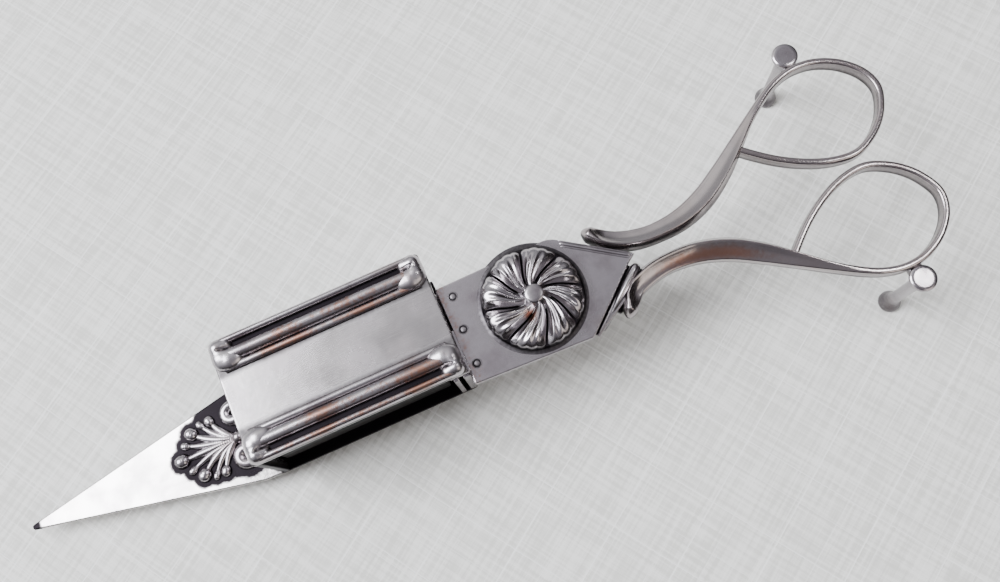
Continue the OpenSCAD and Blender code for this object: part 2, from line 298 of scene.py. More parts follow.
def mix_colour(tree, amount, first, second):
    """Two colours mixed by an amount: all first at 0, all second at 1."""
    return add_node(tree, "ShaderNodeMix", {0: amount, 6: first, 7: second}, data_type="RGBA").outputs[2]


def maths(tree, operation, a, b=0.0):
    """One arithmetic node."""
    return add_node(tree, "ShaderNodeMath", {0: a, 1: b}, operation=operation).outputs[0]


def noise(tree, scale, detail, stretch=(1, 1, 1)):
    """Noise on Object coordinates; scale is the number of features in a metre, and a small stretch draws the
    features out along that axis."""
    place = add_node(tree, "ShaderNodeTexCoord").outputs["Object"]
    place = add_node(tree, "ShaderNodeMapping", {"Vector": place, "Scale": stretch}).outputs[0]
    return add_node(tree, "ShaderNodeTexNoise", {"Vector": place, "Scale": scale, "Detail": detail,
                                                 "Roughness": 0.55}).outputs[0]


def bumped(tree, height, strength, distance, **normal):
    """The surface normal tilted by a height; distance is the relief's depth in metres."""
    inputs = {"Height": height, "Strength": strength, "Distance": distance, **normal}
    return add_node(tree, "ShaderNodeBump", inputs).outputs[0]


def end_material(tree, colour, roughness, normal, metallic):
    """The shader at the end of a material."""
    shader = add_node(tree, "ShaderNodeBsdfPrincipled", {"Base Color": colour, "Metallic": metallic,
                                                         "Roughness": roughness, "Normal": normal})
    add_node(tree, "ShaderNodeOutputMaterial", {"Surface": shader.outputs[0]})


# features of the silver's noises in a metre
CLOUDS, BROWN_CLOUDS, SPECKS, SCRATCHES, DENTS = 160, 75, 1500, 5200, 420
# the fourth colour is sulphide black, used for real tarnish and for painted shade
DULL_GREY, BROWN, COPPER, SULPHIDE_AND_SHADE = "#8b8488", "#8f7c72", "#a07562", "#1b181b"


def silver_plate(name, silver="#b4afb2", gloss=0.16, scratch=(0.12, 1, 1),
                 scratch_depth=0.25, copper_bias=0.0, ragged=0.2, patchy=1.0):
    """Old silver plate on copper, buffed by hand: a grey mirror with fine scratches, sulphide black in the
    recesses and painted shade in the same black, brown clouds, and pink copper where the plate has worn through."""
    material, tree = new_material(name)
    patina_and_shade = add_node(tree, "ShaderNodeAttribute", attribute_name="patina_and_shade").outputs["Fac"]
    copper = add_node(tree, "ShaderNodeAttribute", attribute_name="copper").outputs["Fac"]
    cloud = noise(tree, CLOUDS, 5)
    dull = ramp(tree, cloud, 0.40, 0.74, 0, patchy)
    brown = ramp(tree, noise(tree, BROWN_CLOUDS, 3), 0.5, 0.75, 0, 0.5 * patchy)
    shade = maths(tree, "SUBTRACT", cloud, 0.5)
    grain = maths(tree, "SUBTRACT", noise(tree, SPECKS, 3), 0.5)
    worn = maths(tree, "ADD", copper, maths(tree, "MULTIPLY", grain, 1.1 * patchy))
    worn = maths(tree, "ADD", worn, maths(tree, "MULTIPLY", shade, patchy))
    worn = ramp(tree, worn, 0.3 - copper_bias, 0.95 - copper_bias, 0, 0.85)
    # the dark weight darkens the silver for real tarnish and for painted shade
    black = ramp(tree, maths(tree, "ADD", patina_and_shade, maths(tree, "MULTIPLY", grain, ragged)), 0.12, 0.85)
    colour = linear(silver)
    for amount, stain in ((dull, DULL_GREY), (brown, BROWN), (worn, COPPER), (black, SULPHIDE_AND_SHADE)):
        colour = mix_colour(tree, amount, colour, linear(stain))
    roughness = maths(tree, "ADD", ramp(tree, cloud, 0.3, 0.75, gloss, gloss + 0.1),
                      maths(tree, "MULTIPLY", black, 0.25))
    scratched = bumped(tree, noise(tree, SCRATCHES, 2, scratch), scratch_depth, 0.00002)
    dented = bumped(tree, noise(tree, DENTS, 3), 0.3, 0.00005, Normal=scratched)
    end_material(tree, colour, roughness, dented, 1.0)
    return material


def sooty_steel(name):
    """Rolled steel blackened by soot: nearly black, dull, with a few rubbed grey streaks."""
    material, tree = new_material(name)
    streak = noise(tree, 900, 5, (0.1, 1, 1))
    colour = mix_colour(tree, ramp(tree, streak, 0.52, 0.8), linear("#141211"), linear("#3a3331"))
    roughness = ramp(tree, streak, 0.3, 0.75, 0.8, 0.55)
    end_material(tree, colour, roughness, bumped(tree, streak, 0.3, 0.00005), 0.3)
    return material


SILVER = silver_plate("silver plate worn to copper")
COVER_SILVER = silver_plate("silver plate rubbed along its length", silver="#aeaaaa", gloss=0.19,
                            scratch=(0.03, 1, 1), scratch_depth=0.6, copper_bias=-0.15, patchy=0.45)
BLADE_SILVER = silver_plate("silver plate polished blade", silver="#dcd8d5", gloss=0.14, copper_bias=-0.25,
                            patchy=0.5, ragged=0.7)
HANDLE_SILVER = silver_plate("silver plate worn smooth by fingers", silver="#ada6a6", gloss=0.14,
                             copper_bias=0.02, patchy=0.4)
REED_SILVER = silver_plate("silver plate rubbed through to copper", gloss=0.2, patchy=1.35)
CLASP_SILVER = silver_plate("cast silver handled dull", gloss=0.24, patchy=0.6)
CAST_SILVER = silver_plate("cast silver tarnished in its hollows", gloss=0.16, copper_bias=-0.1, ragged=0.7)
SOOT = sooty_steel("sooty rolled steel")
PIN_STEEL = silver_plate("turned steel pin", silver="#a7a6a6", gloss=0.3, copper_bias=-0.6)


# ---------------------------------------------------------------- snuff box

SHELL_HUB = np.array([-62.0, 2.95])
# beads at the ends of the shell's ribs: x, offset from the middle line, radius
SHELL_BEADS = [(-73.8, 0.0, 1.4), (-72.4, 2.6, 0.8), (-70.5, 4.3, 1.3), (-68.4, 5.4, 0.7), (-66.4, 5.3, 1.0)]
# volutes beside the hub: offset from the middle line, radius of the curl, thickness
VOLUTES = [(4.9, 1.65, 1.15), (-3.9, 1.65, 1.35)]
# place of the volutes along x, and of the point that the shell's rings grow from
VOLUTE_X, SHELL_MIDDLE_X = -61.6, -66.0


def floor_blade():
    """The box floor and the flat tip: a thin slab, tarnished black at its point and round the shell, and painted
    with shade and soot in the box, whose side starts at a slanting line in front of the shell."""
    low, high = span("floor_blade")
    tip, shoulder = low[0], COVER_LOW[0]
    corners = [(tip, 2.6), (-60, low[1] + 0.1), (shoulder, low[1]), (high[0], low[1]), (high[0], high[1]),
               (shoulder, high[1]), (-60, 12.4), (tip, 3.5)]
    outline = rounded_outline(corners, [0.4, 3, 0.3, 0.3, 0.3, 0.3, 2, 0.4], 420)
    rings = slab(outline, low[2], high[2], 0.3, rings=110, centre=(-52, 3))
    x, y = rings[..., 0], rings[..., 1]
    patina_and_shade = 1.1 * smoothstep(tip + 2.6, tip + 0.7, x)
    past_line = 0.657 * (x + 59.6) + 0.754 * (y + 4.2)
    # painted shade with soot inside the box under the cover, darker further in from its open front
    box_mouth_shade = smoothstep(-0.2, 0.35, past_line) * (x > -60)
    box_mouth_shade = np.where(y < -3.5, box_mouth_shade, smoothstep(-57.4, -57.0, x))
    patina_and_shade += box_mouth_shade * (0.66 + 0.3 * smoothstep(low[1] + 0.6, low[1] + 2.4, y))
    gap = np.full(x.shape, 9.0)
    for bead_x, off, radius in SHELL_BEADS:
        gap = np.minimum(gap, np.hypot(x - bead_x, np.abs(y - SHELL_HUB[1]) - off) - radius)
    for off, curl, thick in VOLUTES:
        gap = np.minimum(gap, np.hypot(x - VOLUTE_X, y - SHELL_HUB[1] - off) - curl - thick)
    gap = np.minimum(gap, np.hypot(x - SHELL_HUB[0], y - SHELL_HUB[1] - 1.5) - 8)
    patina_and_shade += smoothstep(1.7, 0.4, gap) + 0.42 * smoothstep(-67, -61, x) * smoothstep(-2, -4.5, y)
    add_piece("floor_blade", BOX_LIMB, ["floor_blade"], BLADE_SILVER, [rings], [patina_and_shade])


def ball_field(x, y, cx, cy, radius, height):
    """Height of a half ball on the plane, height times the root of one less the squared distance over the
    squared radius, and 0 outside it."""
    inside = 1 - ((x - cx) ** 2 + (y - cy) ** 2) / radius ** 2
    return height * np.sqrt(np.maximum(inside, 0))


def rib_field(x, y, path, radii, height):
    """Height of a rounded rib: the highest of many small balls along the path."""
    best = np.zeros(np.shape(x))
    for (cx, cy), radius in zip(path, radii):
        best = np.maximum(best, ball_field(x, y, cx, cy, radius, height * radius))
    return best


def shell_parts():
    """The shell's ribs, beads and volutes as a list of (path, radii, height)."""
    parts = [(SHELL_HUB[None], [1.3], 1.0)]
    for x, off, radius in SHELL_BEADS:
        for side in (-1, 1) if off else (1,):
            bead = np.array([x, SHELL_HUB[1] + side * off])
            bend = np.array([0.6 * bead[0] + 0.4 * SHELL_HUB[0], SHELL_HUB[1] + side * off * 0.22])
            t = np.linspace(0, 1, 30)[:, None]
            path = (1 - t) ** 2 * SHELL_HUB + 2 * t * (1 - t) * bend + t ** 2 * bead
            neck = 0.34 + 0.4 * radius ** 0.5 * np.sin(np.pi * t[:, 0] ** 0.8)
            swell = neck + (radius - neck) * smoothstep(0.85, 0.98, t[:, 0])
            parts.append((path, swell, 0.95))
    for off, curl, thick in VOLUTES:
        side = np.sign(off)
        balls = 44
        turn = np.linspace(-0.35, 1.35, balls) * np.pi
        size = np.linspace(curl, 0.8 * curl, balls)[:, None]
        ring = np.stack([np.cos(turn + np.pi * 0.5), side * np.sin(turn + np.pi * 0.5)], 1)
        path = np.array([VOLUTE_X, SHELL_HUB[1] + off]) + ring * size
        parts.append((path, np.linspace(0.85 * thick, thick, balls), 0.9))
    return parts


def shell_ornament():
    """Cast shell: ribs fan out from a hub to round beads, with a volute at each side, on a black ground."""
    parts = shell_parts()

    def field(x, y):
        best = np.zeros(np.shape(x))
        ground = np.zeros(np.shape(x))
        for path, radii, height in parts:
            best = np.maximum(best, rib_field(x, y, path, radii, height))
            ground = np.maximum(ground, rib_field(x, y, path, np.asarray(radii) + 0.75, 1.0))
        keep = x < COVER_LOW[0] + 0.3
        return np.where(keep, np.maximum(best, 0.03 * (ground > 0)), 0)

    rings = relief((SHELL_MIDDLE_X, SHELL_HUB[1]), field, 12, FLOOR_TOP, 460, 190)
    patina_and_shade = 1 - smoothstep(0.12, 0.5, rings[..., 2] - FLOOR_TOP)
    add_piece("shell_ornament", BOX_LIMB, ["shell_ornament"], CAST_SILVER, [rings], [patina_and_shade])


def box_walls():
    """Thin walls with softly rounded edges, sooty towards the open front of the box. The wall at the pivot is
    cut down in front of notch_y, to let the presser's tongue pass."""
    notch_y, notch_z = 7.2, LOWER_TOP - 0.1
    for node, axis in (("box_rear_wall", 1), ("box_tip_wall", 0)):
        low, high = span(node)
        wall = block(low, high, 0.3, 0.15, axis)
        soot = 0.9 * smoothstep(COVER_LOW[1] + 3, COVER_LOW[1], wall[..., 1])
        add_piece(node, BOX_LIMB, [node], SILVER, [wall], [soot])
    low, high = span("limb_riser")
    add_piece("limb_riser", BOX_LIMB, ["limb_riser"], SILVER, [block(low, high, 0.4, 0.3, 0)])
    low, high = span("box_pivot_wall")
    corners = [(low[1], low[2]), (high[1], low[2]), (high[1], high[2]), (notch_y, high[2]),
               (notch_y, notch_z), (low[1], notch_z)]
    outline = rounded_outline(corners, [0.3] * 6, 200)
    wall = turned(slab(outline, low[0], high[0], 0.2, 8, centre=(10, 12)), (2, 0, 1))
    add_piece("box_pivot_wall", BOX_LIMB, ["box_pivot_wall"], SILVER, [wall])


REED_WIDTH = 6.4
# the moulding's ribs from its outer edge inwards: middle, half width, height
REEDS = [(0.74, 0.74, 1.15), (3.55, 1.3, 1.5), (5.62, 0.76, 0.8)]


def box_cover():
    """The flat cover plate, with painted shade beside the mouldings: a bell curve of the distance from them."""
    corners = [COVER_LOW[:2], (COVER_HIGH[0], COVER_LOW[1]), COVER_HIGH[:2], (COVER_LOW[0], COVER_HIGH[1])]
    rings = slab(rounded_outline(corners, [0.9] * 4, 400), COVER_LOW[2], COVER_TOP, 0.3, rings=110)
    y = rings[..., 1]
    # painted shade: the cover is darkened next to the mouldings
    gap = np.minimum(y - (COVER_LOW[1] + REED_WIDTH), COVER_HIGH[1] - REED_WIDTH - y)
    patina_and_shade = 0.6 * np.exp(-np.maximum(gap, 0) ** 2) * (rings[..., 2] > COVER_TOP - 0.4)
    add_piece("box_cover", BOX_LIMB, ["box_cover"], COVER_SILVER, [rings], [patina_and_shade])


def reeded_moulding(name, copper_rib, rear):
    """A strip of three half-round ribs. A rib's height is its half circle to the power 0.8, with shallow waves
    along it and a worn dip 34 mm from the datum. Copper shows on one rib and on the middle one."""
    low, high = span(name)
    across = np.concatenate([np.cos(np.linspace(np.pi, 0, 40)) * half + mid for mid, half, _ in REEDS])
    across = np.unique(np.concatenate([across, np.linspace(0, REED_WIDTH, 40)]))
    height = np.full(across.shape, 0.08)
    for mid, half, tall in REEDS:
        arch = np.sqrt(np.maximum(1 - ((across - mid) / half) ** 2, 0))
        height = np.maximum(height, tall * arch ** 0.8)
    x = np.linspace(low[0] - 2.5, high[0] + 2.5, 200)[:, None]
    wear = 0.006 * np.sin(0.5 * x + across) - 0.03 * np.exp(-(x + 34) ** 2 / 60)
    z = COVER_TOP + height * (1 + wear)
    y = across + 0.0 * x
    top = np.dstack([x + 0 * y, y, z])
    under = np.dstack([x + 0 * y, y, np.full(y.shape, COVER_TOP - 0.05)])[:, ::-1]
    rings = capped(np.concatenate([top, under], 1))
    patina_and_shade = 1 - smoothstep(0.12, 0.5, rings[..., 2] - COVER_TOP)
    mid, half = REEDS[copper_rib][:2]
    on_rib = np.exp(-((rings[..., 1] - mid) / (0.8 * half)) ** 2)
    middle_rib = np.exp(-((rings[..., 1] - REEDS[1][0]) / REEDS[1][1]) ** 2)
    along = smoothstep(-54, -42, rings[..., 0])
    copper = np.maximum(on_rib * 0.8 * (0.45 + 0.55 * along), middle_rib * 0.62 * along)
    edge = COVER_HIGH[1] if rear else COVER_LOW[1]
    rings[..., 1] = edge - rings[..., 1] if rear else edge + rings[..., 1]
    add_piece(name, BOX_LIMB, [name], REED_SILVER, [rings], [patina_and_shade], [copper])


# a leaf clasp's lobes as ribs: points along and in from the corner, radii at those points, height over radius
CLASP_LOBES = [([(2.0, 3.9), (2.9, 4.1), (3.8, 4.1)], (2.1, 2.25, 2.0), 0.74),
               ([(1.7, 1.7), (1.6, 3.2)], (1.7, 1.7), 0.85),
               ([(1.6, 1.5), (3.0, 1.35)], (1.6, 1.35), 0.95)]


def crease(u, v, width):
    """A clasp's crease: a bell curve of the distance from a slightly rising line, 1 on the line."""
    return np.exp(-((v - 2.25 - 0.1 * (u - 3)) / width) ** 2)


def leaf_clasp(node, end, rear):
    """A cast leaf over a corner of the cover. Its lobes are ribs, joined by the sixth root of the sum of the
    sixth powers of their heights, and a crease runs in between them."""
    corner = np.array([COVER_HIGH[0] if end else COVER_LOW[0], COVER_HIGH[1] if rear else COVER_LOW[1]])
    sense = np.array([-1 if end else 1, -1 if rear else 1])
    lobes = [(spline(path, 24), np.interp(np.linspace(0, 1, 24), np.linspace(0, 1, len(radii)), radii), tall)
             for path, radii, tall in CLASP_LOBES]

    def in_corner(x, y):
        """Distances along the cover and across it from the corner."""
        return (x - corner[0]) * sense[0], (y - corner[1]) * sense[1]

    def field(x, y):
        u, v = in_corner(x, y)
        total = np.zeros(np.shape(x))
        for path, radii, tall in lobes:
            total = total + rib_field(u, v, path, radii, tall) ** 6
        cut = 0.4 * crease(u, v, 0.26) * smoothstep(1.2, 2.6, u)
        return total ** (1 / 6) * (1 - cut) - 0.02

    rings = relief(corner + sense * (1.3, 2.7), field, 6.5, COVER_TOP, 480, 110)
    depth = rings[..., 2] - COVER_TOP
    u, v = in_corner(rings[..., 0], rings[..., 1])
    patina_and_shade = 0.85 * (1 - smoothstep(0.04, 0.3, depth))
    patina_and_shade = np.maximum(patina_and_shade, 0.8 * crease(u, v, 0.2) * smoothstep(1.8, 3.0, u))
    copper = 0.4 * smoothstep(1.35, 1.7, depth)
    add_piece(node, BOX_LIMB, [node], CLASP_SILVER, [rings], [patina_and_shade], [copper])


# ---------------------------------------------------------------- pivot

# middle of the rosette and its rim
PIN = np.array([-0.3, 0.7])
PLATE_LOW = span("upper_pivot_plate")[0]
# corner and apex of the plates' canted edges
REAR_CORNER, REAR_APEX = np.array([6.8, 9.9]), np.array([19.8, 0.9])
FRONT_CORNER, FRONT_APEX = np.array([6.7, -10.1]), np.array([18.3, -0.1])
# outlines beside the front canted edge, as distance out from it and place along it: the lower plate's wing,
# and the flange under the round bar
WING = [(-3, 0.6), (0.3, 1.0), (0.9, 6.2), (2.6, 6.4), (2.7, 15.0), (-1.0, 15.0)]
FLANGE = [(0.32, 0.6), (0.75, 0.7), (1.55, 4.8), (2.35, 8.6), (2.6, 14.8), (0.32, 14.8)]
# low ribs on the rear canted edge: distance out from it, where the rib starts and stops, its width and height
REAR_STRIPS = [(-0.16, 1.6, 15.4, 0.3, 0.12), (-0.62, 1.9, 15.4, 0.62, 0.2), (-1.12, 2.3, 15.2, 0.3, 0.1)]


def beside(corner, apex, distance, along):
    """A point beside a canted edge: so far out from it, and so far from its corner towards its apex."""
    edge = (apex - corner) / np.linalg.norm(apex - corner)
    out = np.array([edge[1], -edge[0]]) if corner[1] < 0 else np.array([-edge[1], edge[0]])
    return corner + edge * along + out * distance


def by_front(distance, along):
    """A point beside the front canted edge."""
    return beside(FRONT_CORNER, FRONT_APEX, distance, along)


def by_rear(distance, along):
    """A point beside the rear canted edge."""
    return beside(REAR_CORNER, REAR_APEX, distance, along)


def from_pin(rings):
    """Distance of each point of the rings from the rosette's middle."""
    return np.hypot(rings[..., 0] - PIN[0], rings[..., 1] - PIN[1])


def plate_outline(left, front, rear, shrink, radii, count):
    """The house-shaped plate: a long body, a soft rear corner, a crisp front corner and a blunt apex."""
    corners = [(left, front), FRONT_CORNER + (0, shrink), FRONT_APEX - (shrink, 0),
               REAR_APEX - (1.4 * shrink, 0.2 * shrink), REAR_CORNER - (0, shrink), (left, rear)]
    return rounded_outline(corners, radii, count)


def pivot_plates():
    """The two flat plates that turn on the pin; the upper one is tarnished round the rosette, and the
    lower one's wing is painted dark as shade.
    """
    outline = plate_outline(PLATE_LOW[0], -9.1, 9.6, 0, [0.5, 0.3, 0.3, 0.3, 5.0, 0.6], 440)
    rings = slab(outline, PLATE_LOW[2], UPPER_TOP, 0.22, rings=90, centre=PIN)
    patina_and_shade = 0.4 * smoothstep(12.2, 10.4, from_pin(rings)) * (rings[..., 2] > UPPER_TOP - 0.1)
    copper = 0.45 * np.exp(-((rings[..., 0] + 15) / 1.6) ** 2)
    add_piece("upper_pivot_plate", PRESSER_LIMB, ["upper_pivot_plate"], SILVER, [rings], [patina_and_shade], [copper])
    low, high = span("lower_pivot_plate")
    outline = plate_outline(low[0], -8.8, 9.2, 0.45, [0.4, 0.3, 0.3, 0.3, 3.0, 0.4], 300)
    body = slab(outline, low[2], high[2], 0.2, rings=12, centre=PIN)
    lip = rounded_outline([by_front(*place) for place in WING], [0.4, 0.4, 0.8, 0.4, 0.4, 0.4], 200)
    wing = slab(lip, low[2] + 0.05, high[2] - 0.02, 0.2, rings=8)
    # the wing, seen only in the gap beside the canted edge, is painted dark as shade
    add_piece("lower_pivot_plate", BOX_LIMB, ["lower_pivot_plate"], SILVER, [body, wing],
              [np.full(body.shape[:2], 0.1), np.full(wing.shape[:2], 0.9)])


def boss_rim():
    """The plate's swelling round the pivot: a soft cove that rises to the rosette's edge, painted dark as shade.
    """
    a = np.linspace(0, np.pi / 2, 14)
    foot, shoulder, base, rise = 10.45, 9.0, UPPER_TOP - 0.03, 0.75
    cove = np.column_stack([foot - (foot - shoulder) * np.sin(a), base + rise * (1 - np.cos(a))])
    top = np.column_stack([np.linspace(shoulder, 0, 12)[1:], np.full(11, base + rise)])
    rings = spun(np.vstack([[(0, base)], cove, top]), PIN, count=180)
    # painted shade over the whole cove, darkest at the shoulder under the rosette
    patina_and_shade = 0.68 + 0.3 * smoothstep(9.4, 9.1, from_pin(rings))
    add_piece("boss_rim", PRESSER_LIMB, ["boss_rim"], SILVER, [rings], [patina_and_shade])


PETALS = 8
FLUTES = 4
ROSETTE_R = 9.3
BUTTON_R = 1.45
FIRST_GROOVE = np.radians(-8.1)
# where the grooves meet, from the rosette's middle
SWIRL = np.array([0.55, 0.5])


def petal_place(x, y):
    """Radius, place across the petal from 0 to 1, and distance to the nearest groove.

    The grooves swirl: the nearer the centre, the further round they start. They meet a little off it."""
    r = np.hypot(x, y)
    lean = np.clip(1 - (r / ROSETTE_R) ** 2, 0, 1)
    x, y = x - SWIRL[0] * lean, y - SWIRL[1] * lean
    sweep = 0.35 * (np.clip(1 - r / ROSETTE_R, 0, 1) / 0.64) ** 2
    turn = (np.arctan2(y, x) - FIRST_GROOVE - sweep) * PETALS / (2 * np.pi)
    across = turn - np.floor(turn)
    to_groove = np.minimum(across, 1 - across) * 2 * np.pi * r / PETALS
    return r, across, to_groove


def petal_edge(across):
    """Radius of the petals' outline: each petal ends in an arc with small scallops, one for every flute."""
    round_end = np.maximum(np.sin(np.pi * across), 0) ** 0.35
    return ROSETTE_R * (0.92 + 0.085 * round_end + 0.02 * np.abs(np.sin(np.pi * FLUTES * across)))


def rosette():
    """Eight swirling petals: each is a raised scoop with concave flutes, a rolled lip and a scalloped end."""
    base = UPPER_TOP + 0.35

    def field(x, y):
        r, across, to_groove = petal_place(x, y)
        q = r / petal_edge(across)
        rise = 0.5 + 0.5 * smoothstep(0.1, 0.75, q)
        drop = np.maximum(1 - np.clip(q, 0, 1) ** 5, 0) ** 0.55
        crown = np.minimum(1, to_groove / (0.35 + 0.12 * r)) ** 0.5
        swell = 1 - 0.16 * np.cos(2 * np.pi * across)
        ridge = 1 - np.abs(np.sin(np.pi * FLUTES * across)) ** 1.6
        flute = 0.34 * (1 - ridge) * smoothstep(0.16, 0.6, q) * (1 - 0.75 * smoothstep(0.74, 0.97, q))
        z = (0.3 + 2.05 * rise * crown * swell - flute * crown) * drop
        mid = np.hypot(x - SWIRL[0], y - SWIRL[1])
        button = 1.68 + 0.14 * np.sqrt(np.maximum(1 - (mid / BUTTON_R) ** 2, 0))
        z = np.where(mid < BUTTON_R, np.maximum(button, z), np.maximum(z, 1.7 * smoothstep(3.1, 1.4, mid)))
        return np.where(q < 1, z, 0)

    rings = relief((0, 0), field, ROSETTE_R * 1.08, base, 960, 96)
    x, y = rings[..., 0], rings[..., 1]
    r, across, to_groove = petal_place(x, y)
    depth = rings[..., 2] - base
    patina_and_shade = 1.1 * np.exp(-(to_groove / 0.24) ** 2) * smoothstep(2.2, 3.4, r)
    patina_and_shade = np.maximum(patina_and_shade, 0.9 * (1 - smoothstep(0.1, 0.6, depth)))
    # painted shade on the steep petal ends, in place of their bright reflection of the room
    patina_and_shade = np.maximum(patina_and_shade, 0.75 * smoothstep(0.93, 0.985, r / petal_edge(across)))
    patina_and_shade = np.maximum(patina_and_shade, 0.42 * smoothstep(1.7, 1.4, np.hypot(x - SWIRL[0], y - SWIRL[1])))
    bleed_angle = np.radians(-122)
    bleed_x, bleed_y = 3.0 * np.cos(bleed_angle), 3.2 * np.sin(bleed_angle)
    bled = np.exp(-((x - bleed_x) ** 2 + (y - bleed_y) ** 2) / 3.0)
    rings[..., :2] += PIN
    add_piece("rosette", PRESSER_LIMB, ["rosette", "rosette_button"], SILVER, [rings], [patina_and_shade], [0.9 * bled])


def bar_between(start, stop, width, low, high, fade=1.0):
    """A half-round bar along a straight line: its section is a flat foot with a round back. Towards its start
    it shrinks to the fraction fade of its width and height."""
    t = np.linspace(0, 1, 40)[:, None]
    line = start + (stop - start) * t
    along = (stop - start) / np.linalg.norm(stop - start)
    side = np.array([-along[1], along[0]])
    turn = np.linspace(0, np.pi, 20)
    section = np.column_stack([np.cos(turn), np.sin(turn)])
    section = np.vstack([section, [(-1, -0.2), (-0.5, -0.2), (0.5, -0.2), (1, -0.2)]])
    taper = np.sqrt(np.clip(1 - np.abs(2 * t - 1) ** 14, 0, 1)) * (fade + (1 - fade) * smoothstep(0, 0.75, t))
    plan = line[:, None] + side * (section[:, 0] * taper)[..., None] * width / 2
    z = low + (high - low) * (np.maximum(section[:, 1], 0) * taper + np.minimum(section[:, 1], 0))
    return np.dstack([plan, z])


def canted_edges():
    """The round bar and its flat flange beside the front canted edge, and the low strip on the rear one."""
    base = LOWER_TOP - 0.1
    bar = bar_between(by_front(0.85, 2.0), by_front(1.45, 15.8), 2.1, base, UPPER_TOP + 0.5, fade=0.4)
    edge = rounded_outline([by_front(*place) for place in FLANGE], [0.2, 0.2, 2, 2, 0.3, 0.3], 240)
    flange = slab(edge, base, UPPER_TOP - 0.55, 0.3, 10)
    # painted shade on the bar's flanks below its round top, and a lighter painted shade over the flange
    bar_flank_shade = 0.65 * (1 - smoothstep(UPPER_TOP - 0.3, UPPER_TOP + 0.35, bar[..., 2]))
    add_piece("front_collar_bar", BOX_LIMB, ["front_collar_bar"], SILVER, [bar, flange],
              [bar_flank_shade, np.full(flange.shape[:2], 0.4)])
    strips = [bar_between(by_rear(out, start), by_rear(out, stop), width, UPPER_TOP - 0.1, UPPER_TOP + tall)
              for out, start, stop, width, tall in REAR_STRIPS]
    add_piece("rear_edge_moulding", PRESSER_LIMB, ["rear_edge_moulding"], SILVER, strips,
              [0.7 * (1 - smoothstep(UPPER_TOP, UPPER_TOP + 0.07, s[..., 2])) for s in strips])


PELLET_PLACES = [(-13.2, 7.1), (-13.8, 0.8), (-14.0, -5.8)]


def pellets():
    """Three plain round dots near the plate's left edge, each in a low ring with a dark groove between."""
    r = np.array([0.0, 0.25, 0.42, 0.55, 0.66, 0.78, 0.88, 0.95, 0.95, 0.0])
    z = np.array([0.1, 0.095, 0.07, 0.03, 0.03, 0.07, 0.06, 0.0, -0.1, -0.1])
    profile = np.column_stack([r, UPPER_TOP - 0.02 + z])
    grids = [spun(profile, place, 48) for place in PELLET_PLACES]
    groove = 0.35 + 0.5 * np.exp(-((r - 0.62) / 0.2) ** 2)
    patina_and_shade = [np.broadcast_to(groove[:, None], (len(r), 48))] * len(grids)
    add_piece("plain_pellets", PRESSER_LIMB, [], SILVER, grids, patina_and_shade)


def presser():
    """The steel presser plate in the box mouth and the arm that carries it under the cover."""
    low, high = span("presser_plate")
    add_piece("presser_plate", PRESSER_LIMB, ["presser_plate"], SOOT, [block(low, high, 0.8, 0.2, 1)])
    low, high = span("presser_tongue")
    arm = span("presser_plate")[1][1]
    right = high[0] + 0.3
    corners = [(low[0], arm), (-20.5, arm), (-19.6, low[1]), (right, low[1]), (right, high[1]), (-21, 0.4),
               (low[0], arm + 1.4)]
    outline = rounded_outline(corners, [0.4, 0.3, 0.3, 0.3, 0.3, 2, 0.5], 200)
    add_piece("presser_tongue", PRESSER_LIMB, ["presser_tongue"], SILVER,
              [slab(outline, low[2], high[2], 0.2, 10, centre=(-21, -2.8))])


# ---------------------------------------------------------------- handles

# middle line of a handle as x, y, width: its beak, and from there round the bow to the fork
REAR_BEAK = [(12.9, 8.9, 2.6), (14.6, 7.1, 3.0)]
FRONT_BEAK = [(13.9, 9.3, 2.5), (15.4, 7.2, 3.0)]
HANDLE = [(17.4, 4.95, 3.5), (20.8, 3.6, 3.75), (25, 3.05, 3.7), (30.4, 3.5, 4.1), (35.7, 5.3, 4.3),
          (40.8, 8.4, 3.9), (45.6, 12.0, 2.9), (50.4, 15.7, 1.8), (55, 18.7, 1.45), (58.4, 20.3, 1.4),
          (62.1, 21.05, 1.4), (66.1, 20.55, 1.4), (70.1, 18.5, 1.4), (73.2, 15.1, 1.4), (74.2, 11.25, 1.4),
          (72.7, 7.4, 1.4), (70.4, 4.6, 1.4), (67.6, 2.6, 1.4), (64.8, 1.5, 1.4), (61.8, 1.5, 1.4),
          (58.2, 2.4, 1.4), (54.5, 4.1, 1.4), (51, 6.3, 1.4), (47.9, 8.8, 1.4), (45.3, 11.2, 1.4)]
# sections of the shank, of its beak and of the bow's band: across from -1 at the outer side to 1 at the inner
# side, and up from 0 at the bottom to 1 at the top
SHANK_SECTION = [(-1, .42), (-.98, .6), (-.86, .69), (-.5, .735), (-.1, .8), (.3, .92), (.5, .985),
                 (.62, .985), (.84, .8), (1, .6), (1, .35), (.9, .1), (.5, 0), (-.2, 0), (-.7, .08),
                 (-.95, .22)]
BEAK_SECTION = [(-1, .5), (-.97, .64), (-.87, .77), (-.7, .88), (-.45, .96), (-.15, 1), (.15, 1), (.45, .95),
                (.8, .8), (.98, .6), (1, .38), (.88, .16), (.5, .02), (-.2, 0), (-.72, .1), (-.95, .28)]
BAND_SECTION = [(-1, .5), (-1, .78), (-.8, .94), (-.42, 1), (0, 1.01), (.42, 1), (.75, .96), (.95, .86),
                (1, .7), (1, .5), (1, .25), (.85, .06), (.4, 0), (-.2, 0), (-.75, .05), (-1, .25)]


